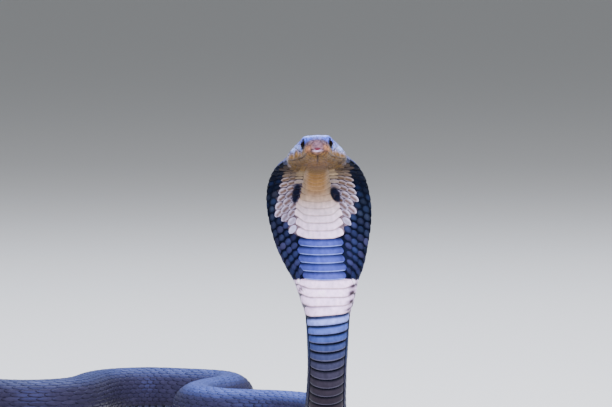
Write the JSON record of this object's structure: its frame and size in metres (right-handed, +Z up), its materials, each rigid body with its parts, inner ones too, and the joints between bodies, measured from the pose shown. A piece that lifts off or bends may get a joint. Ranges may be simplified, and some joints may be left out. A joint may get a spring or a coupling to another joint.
{
  "type": "indian cobra model",
  "caption": "Life-size still model of an Indian cobra, neck raised and hood spread, body lying in a loose curve.",
  "frame": {"origin": "middle of the model's bounding box, on the floor that it lies on", "axes": "+Z up; the snake looks along -Y; +X is to the right as the snake is seen from the front, and its body lies towards -X"},
  "size_m": [0.3302, 0.3186, 0.1643],
  "materials": {
    "slate_skin": "satin, smooth scales",
    "head_skin": "satin, large smooth shields",
    "throat_skin": "satin",
    "hood_skin": "satin, smooth scales",
    "eye_glass": "wet gloss"
  },
  "bodies": {
    "root": {"head": "head_skin", "lower_jaw": "throat_skin", "eye_left": "eye_glass", "eye_right": "eye_glass", "hood": "hood_skin", "neck": "slate_skin", "body_1": "slate_skin", "body_2": "slate_skin", "body_3": "slate_skin", "body_4": "slate_skin", "body_5": "slate_skin", "body_6": "slate_skin", "body_7": "slate_skin", "body_8": "slate_skin", "tail_base": "slate_skin", "tail_tip": "slate_skin"}
  },
  "joints": []
}
